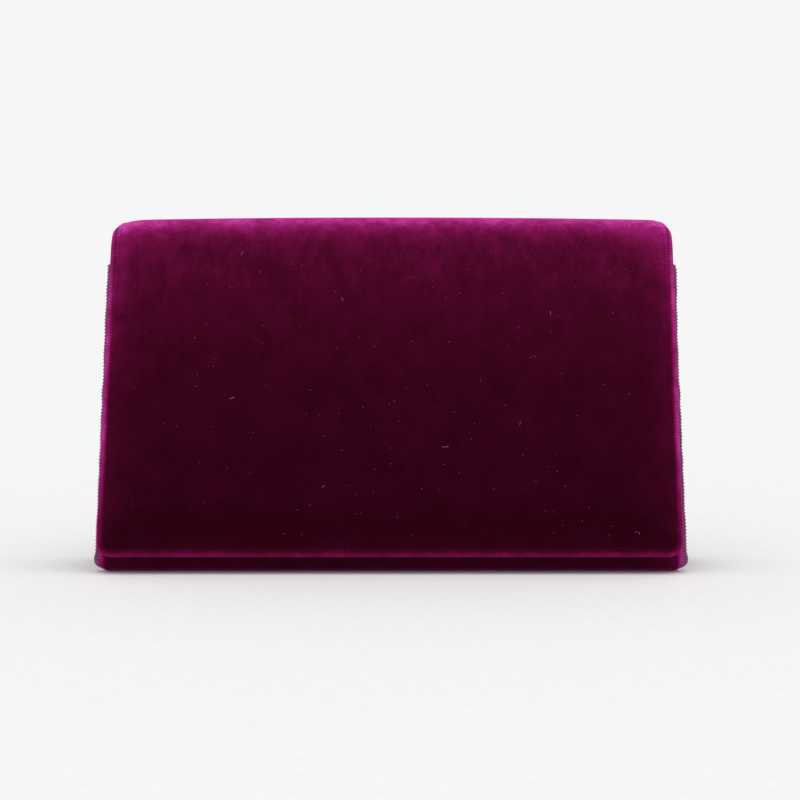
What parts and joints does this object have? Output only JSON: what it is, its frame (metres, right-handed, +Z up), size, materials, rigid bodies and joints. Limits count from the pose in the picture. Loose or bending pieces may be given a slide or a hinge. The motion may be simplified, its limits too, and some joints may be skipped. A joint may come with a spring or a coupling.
{
  "type": "clutch purse",
  "caption": "Small wedge-shaped velvet clutch purse with a wide fold over the mouth, a full flap over the front, folded side gussets and a magnetic snap.",
  "frame": {"origin": "middle of the base, on the surface that the purse stands on", "axes": "+X across the width, to the right of someone facing the flap; +Y from the front to the back; +Z up. Left is -X and right is +X in the node names"},
  "size_m": [0.1626, 0.0368, 0.097],
  "materials": {
    "velvet": "deep wine velvet, magenta sheen where the pile is seen edge on",
    "seam_edge": "cut and whipped seam allowance, ribbed by its stitches",
    "lining": "plum satin, soft shine",
    "fleece": "white bonded wadding",
    "board": "grey-brown stiffening board",
    "snap_brass": "polished, lightly worn",
    "steel": "bright plated sheet",
    "magnet": "dark sintered ferrite"
  },
  "bodies": {
    "shell": {"back_velvet": "velvet", "back_fleece": "fleece", "back_board": "board", "back_lining": "lining", "slip_pocket_sheet": "lining", "slip_pocket_seam": "lining", "base_velvet": "velvet", "base_board": "board", "base_lining": "lining", "gusset_left_rear_velvet": "velvet", "gusset_left_rear_lining": "lining", "seam_welt_back_left": "seam_edge", "gusset_right_rear_velvet": "velvet", "gusset_right_rear_lining": "lining", "seam_welt_back_right": "seam_edge"},
    "front": {"front_velvet": "velvet", "front_fleece": "fleece", "front_board": "board", "front_lining": "lining", "gusset_left_front_velvet": "velvet", "gusset_left_front_lining": "lining", "seam_welt_front_left": "seam_edge", "gusset_right_front_velvet": "velvet", "gusset_right_front_lining": "lining", "seam_welt_front_right": "seam_edge", "snap_case": "snap_brass", "snap_magnet": "magnet", "snap_base": "steel", "snap_case_washer": "steel"},
    "fold": {"fold_velvet": "velvet", "fold_fleece": "fleece", "fold_lining": "lining"},
    "flap": {"flap_velvet": "velvet", "flap_fleece": "fleece", "flap_board": "board", "flap_lining": "lining", "snap_stud": "snap_brass", "snap_stud_legs": "steel", "snap_stud_washer": "steel"}
  },
  "joints": [
    {"name": "rear_fold", "type": "hinge", "parent": "shell", "child": "fold", "pos_m": [0, 0.00599, 0.09472], "axis": [-1, 0, 0], "range_deg": [0, 100]},
    {"name": "front_fold", "type": "hinge", "parent": "fold", "child": "flap", "pos_m": [0, -0.00599, 0.09472], "axis": [-1, 0, 0], "range_deg": [0, 100]},
    {"name": "front_open", "type": "hinge", "parent": "shell", "child": "front", "pos_m": [0, -0.01389, 0.006], "axis": [1, 0, 0], "range_deg": [0, 9]}
  ],
  "couplings": [
    {"joint": "front_fold", "follows": "rear_fold", "ratio": 1},
    {"joint": "front_open", "follows": "rear_fold", "ratio": 0.09}
  ]
}
